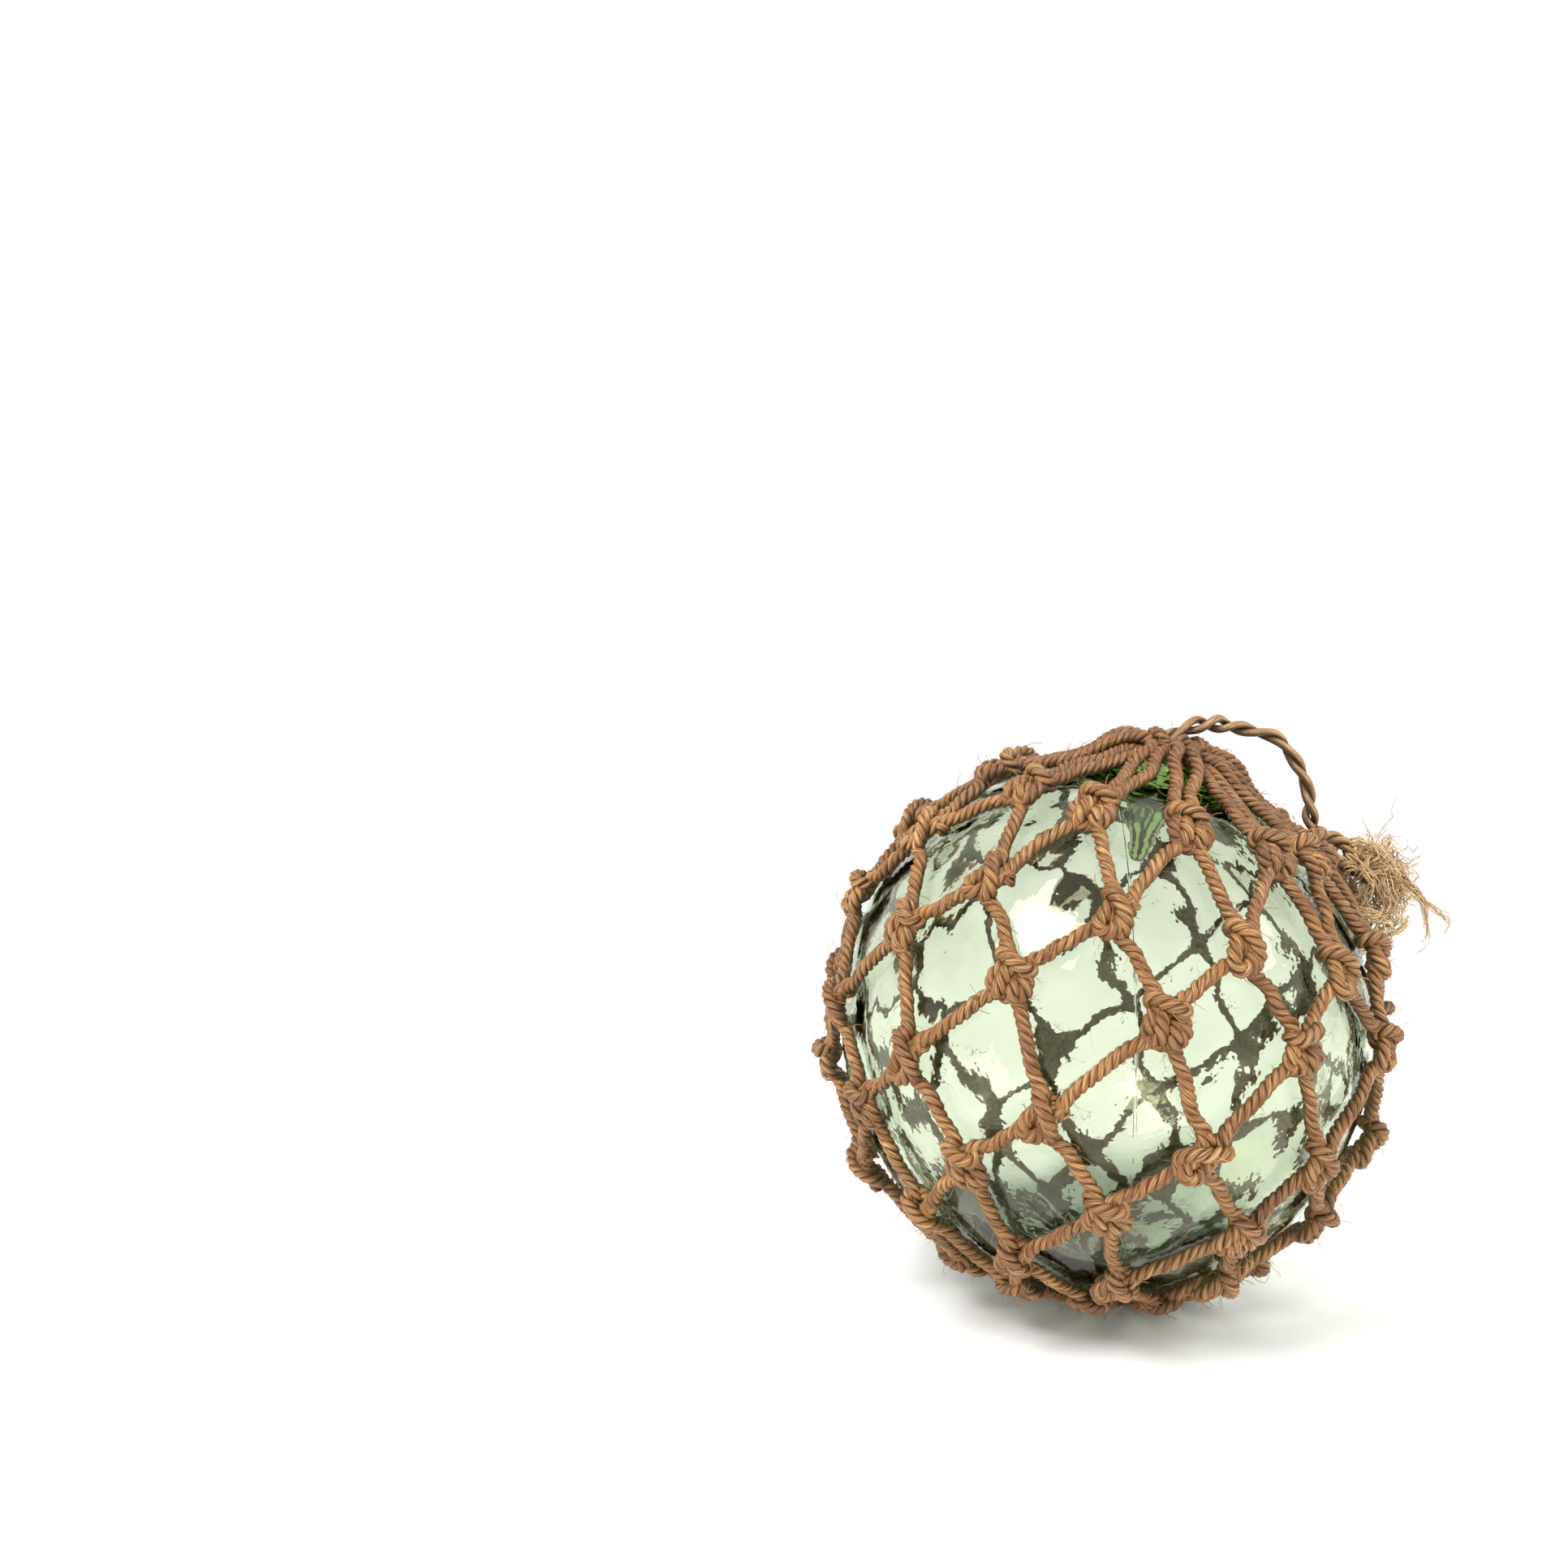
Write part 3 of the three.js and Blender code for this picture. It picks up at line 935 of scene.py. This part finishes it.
def makeNet():
    pieces = []
    for row in range(lastRow):
        name = "netTwine_" + str(row + 1)
        pieces.append(netPiece(name, rowTwine(row), float(row), net["layLength"], netRopeFinish))
    ringDeg = roundOf(lastRow, 0)
    gatherRing = drawstring(lambda around, odd: gatherPlace(gather["ringRadius"], around, 2.6 - 1.1 * odd))
    footRing = drawstring(
        lambda around, odd: footPlace(foot["ringRadius"], around + ringDeg, foot["layers"][odd])
    )
    gathered = (
        ("gatherTwine", gatherTwine()),
        ("footTwine", footTwine()),
        ("gatherRing", gatherRing),
        ("footRing", footRing),
    )
    for index, (name, points) in enumerate(gathered):
        pieces.append(netPiece(name, points, 11.0 + index, net["gatheredLayLength"], gatheredFinish))
    return pieces


netPieces = makeNet()
print("net", sum(len(piece.data.polygons) for piece in netPieces), "faces")


# Glass ball: a hollow shell, thick under its seal

glass = {
    "wall": 0.0032,
    "sealTiltDeg": (12.5, -4),
    "sealRadius": 0.028,
    "sealHeight": 0.0045,
    "sides": 150,
    "rings": 150,
    "crowding": 1.4,  # rings lie closer together at the seal
    "outerRipple": 0.00010,
    "innerRipple": 0.00034,
    "thickening": 0.009,
    "thickeningRadius": 0.033,
    "drip": 0.029,
    "dripRadius": 0.0104,
    "dripOffset": (-0.0055, -0.004),
    "seed": 21,
}


# Plane waves of random direction, for the uneven wall of blown glass
def rippleWaves(random, shortest, longest, count=26):
    waves = []
    for _ in range(count):
        way = unit(random.normal(size=3))
        waves.append((way * 2 * math.pi / random.uniform(shortest, longest), random.uniform(0, 2 * math.pi)))
    return waves


def rippleAt(ways, waves):
    total = np.zeros(len(ways))
    for wave, phase in waves:
        total += np.sin(ways @ wave * ballRadius + phase)
    return total / math.sqrt(len(waves) / 2)


# How far the seal's pad stands out over the ball, by the distance from its axis
def sealProfile(offAxis):
    share = np.clip(offAxis / glass["sealRadius"], 0, 1)
    dome = glass["sealHeight"] * (1 - 0.25 * share ** 2)
    edge = 1 / (1 + np.exp((offAxis - glass["sealRadius"]) / 0.0011))
    return dome * edge


def glassWall(rings, sides, radiusAt):
    angles = math.pi * np.linspace(0, 1, rings + 1)[1:-1] ** glass["crowding"]
    arounds = np.linspace(0, 2 * math.pi, sides, endpoint=False)
    flat = np.sin(angles)[:, None]
    up = np.repeat(np.cos(angles)[:, None], sides, axis=1)
    ways = np.stack([flat * np.cos(arounds), flat * np.sin(arounds), up], axis=2).reshape(-1, 3)
    ways = np.vstack([ways, [0, 0, 1], [0, 0, -1]])
    places = ways * radiusAt(ways)[:, None]
    faces = []
    for ring in range(rings - 2):
        for side in range(sides):
            after = (side + 1) % sides
            upper, lower = ring * sides, (ring + 1) * sides
            faces.append((upper + side, lower + side, lower + after, upper + after))
    top, bottom, low = len(ways) - 2, len(ways) - 1, (rings - 2) * sides
    for side in range(sides):
        after = (side + 1) % sides
        faces.append((top, side, after))
        faces.append((bottom, low + after, low + side))
    return places, faces


def makeGlass():
    random = np.random.default_rng(glass["seed"])
    outerWaves = rippleWaves(random, 0.03, 0.09)
    innerWaves = rippleWaves(random, 0.018, 0.05)

    def outerRadius(ways):
        offAxis = ballRadius * np.hypot(ways[:, 0], ways[:, 1])
        above = ways[:, 2] > 0
        ripple = glass["outerRipple"] * (rippleAt(ways, outerWaves) - 1)
        return ballRadius + np.where(above, sealProfile(offAxis), 0) + ripple

    def innerRadius(ways):
        offAxis = ballRadius * np.hypot(ways[:, 0], ways[:, 1])
        fromDrip = ways[:, :2] - np.array(glass["dripOffset"]) / ballRadius
        dripAway = ballRadius * np.hypot(fromDrip[:, 0], fromDrip[:, 1])
        thick = glass["thickening"] * np.exp(-((offAxis / glass["thickeningRadius"]) ** 4))
        drip = glass["drip"] * np.exp(-((dripAway / glass["dripRadius"]) ** 4))
        above = ways[:, 2] > 0
        wall = glass["wall"] + np.where(above, thick + drip, 0)
        return ballRadius - wall + glass["innerRipple"] * rippleAt(ways, innerWaves)

    outer, outerFaces = glassWall(glass["rings"], glass["sides"], outerRadius)
    inner, innerFaces = glassWall(glass["rings"], glass["sides"], innerRadius)
    right, back = (math.tan(math.radians(tilt)) for tilt in glass["sealTiltDeg"])
    lean = np.array(straightUp.rotation_difference(Vector((right, back, 1)).normalized()).to_matrix())
    places = np.vstack([outer, inner]) @ lean.T + ballMiddle
    count = len(outer)
    faces = outerFaces + [tuple(count + corner for corner in reversed(face)) for face in innerFaces]
    mesh = bpy.data.meshes.new("glassShell")
    mesh.from_pydata(places.tolist(), [], faces)
    mesh.shade_smooth()
    mesh.materials.append(glassMaterial())
    shell = linked("glassShell", mesh)
    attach(shell, "root")
    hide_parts("glass_ball")
    return shell


makeGlass()
print("glass shell made")


# Frayed tail: two rope ends behind their knot, and the straw that they have come apart into

tail = {  # places from the ball's middle
    "ropes": (
        (
            (0.094, 0.002, 0.092), (0.1000, 0.0080, 0.0860), (0.1062, 0.0110, 0.0876),
            (0.1125, 0.0115, 0.0876), (0.1185, 0.0110, 0.0850), (0.1230, 0.0100, 0.0785),
            (0.1262, 0.0090, 0.0715),
        ),
        (
            (0.098, 0.004, 0.081), (0.1040, 0.0070, 0.0800), (0.1102, 0.0075, 0.0782),
            (0.1170, 0.0070, 0.0755), (0.1240, 0.0060, 0.0725), (0.1310, 0.0050, 0.0680),
        ),
    ),
    "untwisted": (
        (0.104, 0.0060, 0.078), (0.1130, 0.0060, 0.0728), (0.1168, 0.0050, 0.0640),
        (0.1182, 0.0030, 0.0550), (0.1190, 0.0010, 0.0430),
    ),
    "clumpMiddle": (0.1312, 0.011, 0.0600),
    "clumpRadii": (0.0180, 0.0125, 0.0295),
    "drift": (0.06, 0.0, -0.14),  # the locks fall a little with every step
    "roots": (
        (0.1200, 0.0115, 0.0830), (0.1262, 0.0090, 0.0715), (0.1300, 0.0050, 0.0690),
        (0.1190, 0.0070, 0.0560),
    ),
    "locks": 56,
    "fibresPerLock": 6,
    "lockSteps": 15,
    "lockStep": 0.0042,
    "turning": 0.42,  # how much a lock turns aside with every step
    "keptWithin": 0.75,  # share of the clump past which it turns back
    "turnBack": 2.2,
    "wisps": (
        (
            (0.1440, 0.0104, 0.0720), (0.1538, 0.0093, 0.061), (0.1617, 0.0086, 0.054),
            (0.1690, 0.0080, 0.0481), (0.1668, 0.0073, 0.0415),
        ),
        (
            (0.1470, 0.0099, 0.0669), (0.1566, 0.0090, 0.0579), (0.1589, 0.0079, 0.0473),
            (0.1585, 0.0071, 0.0395), (0.1526, 0.0064, 0.0332),
        ),
        (
            (0.1499, 0.0081, 0.0493), (0.1456, 0.0074, 0.0430), (0.1361, 0.0069, 0.0383),
            (0.1298, 0.0062, 0.0313),
        ),
        ((0.1400, 0.0081, 0.0450), (0.1322, 0.0073, 0.0415), (0.1235, 0.0072, 0.0407)),
    ),
    "fibresPerWisp": 11,
    "toneSpread": 9.0,  # how much the fibres differ in tone
    "flyaways": 90,
    "flyawayLengths": (0.007, 0.016),
    "flyawayBend": 0.9,
    "fibreRadius": 0.00032,
    "seed": 33,
}


def tailPoints(points):
    count = len(points)
    rows = []
    for index, point in enumerate(points):
        share = index / (count - 1)
        rows.append((*(np.array(point) + ballMiddle), 1.0 - 0.15 * share, 0.5 * max(0, share - 0.6)))
    return rows


def makeTailRopes():
    lines = [smoothLine(tailPoints(points), False) for points in tail["ropes"]]
    host = pathHost("tailRopes", lines, False)
    ropes = layCord("tailRopes", host, ropeRadius * 1.12, 3, 0.022, tailRopeFinish, seed=15.0, fullness=1.15)
    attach(ropes, "root")
    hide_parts("frayed_tail")


# Thin three-sided fibres along their paths
def strawTree():
    tree, given, made = newTree(
        "strawFibres",
        "GeometryNodeTree",
        {"Path": "Geometry", "Fibre radius": "Float", "Finish": "Material"},
        {"Fibres": "Geometry"},
    )
    curve = addNode(tree, "GeometryNodeMeshToCurve", {"Mesh": given["Path"]}).outputs[0]
    length = addNode(tree, "GeometryNodeSplineParameter").outputs["Length"]
    measured = stored(tree, curve, "along", length)
    toned = stored(tree, measured, "strand", maths(tree, "MULTIPLY", named(tree, "open"), tail["toneSpread"]))
    size = maths(tree, "MULTIPLY", given["Fibre radius"], named(tree, "thick"))
    dress(tree, smoothed(tree, tube(tree, toned, roundProfile(tree, 3), size)), given, made)
    return tree


# Fibres that follow a guide side by side, each with its own slight curl
def lockOf(random, guide, count, narrow, wide, curl):
    guide = np.array(guide)
    steps = len(guide)
    at = np.linspace(0, 1, steps)[:, None]
    lines = []
    for _ in range(count):
        start, end = random.normal(0, narrow, 3), random.normal(0, wide, 3)
        phase, turns = random.uniform(0, 2 * math.pi, 3), random.uniform(0.6, 2.6, 3)
        curls = np.sin(phase + 2 * math.pi * turns * at) * curl * random.uniform(0.4, 1.6)
        places = guide + start * (1 - at) + end * at + curls * at ** 0.5
        used = max(4, int(round(steps * random.uniform(0.6, 1.0))))
        own = random.uniform(0.65, 1.5)
        tone = np.full_like(at, random.uniform(0, 1))
        rows = np.hstack([places + ballMiddle, own * (1 - 0.4 * at), tone])
        lines.append(rows[:used])
    return lines


# A wandering path that turns back wherever it leaves the clump
def clumpGuide(random, root):
    middle, radii = np.array(tail["clumpMiddle"]), np.array(tail["clumpRadii"])
    place = np.array(root)
    way = unit(np.array([0.5, 0.0, 0.2]) + random.normal(0, 0.6, 3))
    places = []
    for _ in range(tail["lockSteps"]):
        places.append(place)
        off = (place - middle) / radii
        outside = max(0.0, np.linalg.norm(off) - tail["keptWithin"])
        inward = unit(off + 1e-6) * outside * tail["turnBack"]
        way = unit(way + random.normal(0, tail["turning"], 3) + tail["drift"] - inward)
        place = place + way * tail["lockStep"]
    return places


def makeStraw():
    random = np.random.default_rng(tail["seed"])
    lines, strays = [], []
    for lock in range(tail["locks"]):
        guide = clumpGuide(random, tail["roots"][lock % len(tail["roots"])])
        lines += lockOf(random, guide, tail["fibresPerLock"], 0.0006, 0.0024, 0.0019)
    for wisp in tail["wisps"]:
        guide = smoothLine([(*place, 1, 0) for place in wisp], False, 4)[:, :3]
        lines += lockOf(random, guide, tail["fibresPerWisp"], 0.0009, 0.0007, 0.0010)
    for _ in range(tail["flyaways"]):
        away = unit(np.array([random.normal(0.2, 0.5), random.normal(0, 0.5), random.normal(0.6, 0.6)]))
        start = np.array(tail["clumpMiddle"]) + away * np.array(tail["clumpRadii"]) * 0.7
        bend = random.normal(0, tail["flyawayBend"], 3)
        steps = np.linspace(0, 1, 12)[:, None]
        guide = start + (away * steps + bend * steps ** 2 * 0.6) * random.uniform(*tail["flyawayLengths"])
        strays += lockOf(random, guide, 1, 0.0004, 0.0004, 0.0022)
    half = len(strays) // 2
    lines += strays[:half]
    tree = strawTree()
    host = pathHost("straw", lines, False)
    values = {"Fibre radius": tail["fibreRadius"], "Finish": strawFinish}
    straw = madeByNodes("frayedStraw", host, tree, values)
    guide = smoothLine([(*place, 1, 0) for place in tail["untwisted"]], False, 4)[:, :3]
    host = pathHost("brownStraw", lockOf(random, guide, 110, 0.0012, 0.0022, 0.0006) + strays[half:], False)
    brown = madeByNodes("untwistedStrand", host, tree, {"Fibre radius": 0.0002, "Finish": brownStrawFinish})
    for piece in (straw, brown):
        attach(piece, "root")
        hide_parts("frayed_tail")
    return straw


makeTailRopes()
straw = makeStraw()
print("tail", len(straw.data.polygons), "faces")


# Fuzz: short stray fibres that stand out of the rope

fuzzLook = {
    "fibresPerSquareMetre": 7500.0,
    "length": 0.0055,
    "lengths": (0.3, 1.25),  # shortest and longest, against that
    "thickness": 0.00013,
    "lowest": 0.009,  # the rope below this height is pressed on the floor
}


def fuzzTree():
    tree, given, made = newTree(
        "strayFibres",
        "GeometryNodeTree",
        {"Rope": "Geometry", "Seed": "Int", "Finish": "Material"}
        | dict.fromkeys(("Fibres per square metre", "Length", "Thickness", "Lowest"), "Float"),
        {"Fibres": "Geometry"},
    )
    place = addNode(tree, "GeometryNodeInputPosition").outputs[0]
    height = addNode(tree, "ShaderNodeSeparateXYZ", {0: place}).outputs["Z"]
    high = maths(tree, "GREATER_THAN", height, given["Lowest"])
    points = addNode(
        tree, "GeometryNodeDistributePointsOnFaces",
        {
            "Mesh": given["Rope"],
            "Selection": high,
            "Density": given["Fibres per square metre"],
            "Seed": given["Seed"],
        },
    )
    arc = addNode(
        tree, "GeometryNodeCurveQuadraticBezier",
        {"Resolution": 4, "Start": (0, 0, 0), "Middle": (0.35, 0, 0.6), "End": (1.0, 0.1, 0.65)},
    )
    relative = maths(tree, "DIVIDE", given["Thickness"], given["Length"])
    hair = tube(tree, arc.outputs[0], roundProfile(tree, 3), relative)

    def between(least, most):
        limits = {2: least, 3: most, 8: given["Seed"]}
        return addNode(tree, "FunctionNodeRandomValue", limits, data_type="FLOAT").outputs[1]

    spin = between(0.0, 6.28)
    spun = addNode(tree, "FunctionNodeAxisAngleToRotation", {"Axis": (0, 0, 1), "Angle": spin}).outputs[0]
    facing = addNode(
        tree, "FunctionNodeAlignRotationToVector", {"Vector": points.outputs["Normal"]}, axis="Z"
    ).outputs[0]
    turned = addNode(tree, "FunctionNodeRotateRotation", {0: facing, 1: spun}, rotation_space="LOCAL")
    size = maths(tree, "MULTIPLY", between(*fuzzLook["lengths"]), given["Length"])
    placed = addNode(
        tree, "GeometryNodeInstanceOnPoints",
        {"Points": points.outputs[0], "Instance": hair, "Rotation": turned.outputs[0], "Scale": size},
    )
    dress(tree, placed.outputs[0], given, made)
    return tree


def makeFuzz():
    tree = fuzzTree()
    gathered = bmesh.new()
    for index, piece in enumerate(netPieces):
        host = linked("fuzzHost", piece.data.copy())
        values = {
            "Fibres per square metre": fuzzLook["fibresPerSquareMetre"],
            "Length": fuzzLook["length"],
            "Thickness": fuzzLook["thickness"],
            "Lowest": fuzzLook["lowest"],
            "Seed": index,
            "Finish": brownStrawFinish,
        }
        hairs = madeByNodes("fuzz", host, tree, values)
        gathered.from_mesh(hairs.data)
        bpy.data.objects.remove(hairs)
    mesh = bpy.data.meshes.new("strayFibres")
    gathered.to_mesh(mesh)
    gathered.free()
    mesh.materials.append(brownStrawFinish)
    fuzz = linked("strayFibres", mesh)
    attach(fuzz, "root")
    return fuzz


fuzz = makeFuzz()
print("fuzz", len(fuzz.data.polygons), "faces")


# Studio

studio = {
    "floorSize": 8.0,
    "floor": (0.97, 0.97, 0.965, 1.0),
    "background": 1.03,
    "lights": (  # name, place, size, power
        ("keyLight", (-0.9, -0.9, 1.5), 0.7, 28.0),
        ("sideLight", (1.2, -0.6, 1.0), 0.6, 8.0),
    ),
}


def makeStudio():
    mesh = bpy.data.meshes.new("studioFloor")
    half = studio["floorSize"] / 2
    corners = [(-half, -half, 0), (half, -half, 0), (half, half, 0), (-half, half, 0)]
    mesh.from_pydata(corners, [], [(0, 1, 2, 3)])
    floor = linked("studioFloor", mesh)
    material = bpy.data.materials.new("studioFloor")
    material.use_nodes = True
    shader = material.node_tree.nodes["Principled BSDF"]
    shader.inputs["Base Color"].default_value = studio["floor"]
    shader.inputs["Roughness"].default_value = 0.8
    shader.inputs["Specular IOR Level"].default_value = 0.1
    mesh.materials.append(material)
    world = bpy.data.worlds.new("studioWorld")
    world.use_nodes = True
    world.node_tree.nodes["Background"].inputs["Color"].default_value = (1, 1, 1, 1)
    world.node_tree.nodes["Background"].inputs["Strength"].default_value = studio["background"]
    bpy.context.scene.world = world
    for name, place, size, power in studio["lights"]:
        data = bpy.data.lights.new(name, "AREA")
        data.size = size
        data.energy = power
        light = bpy.data.objects.new(name, data)
        light.location = place
        aim = Vector(ballMiddle) - Vector(place)
        light.rotation_euler = aim.to_track_quat("-Z", "Y").to_euler()
        bpy.context.scene.collection.objects.link(light)
    bpy.context.scene.view_settings.view_transform = "Standard"


makeStudio()
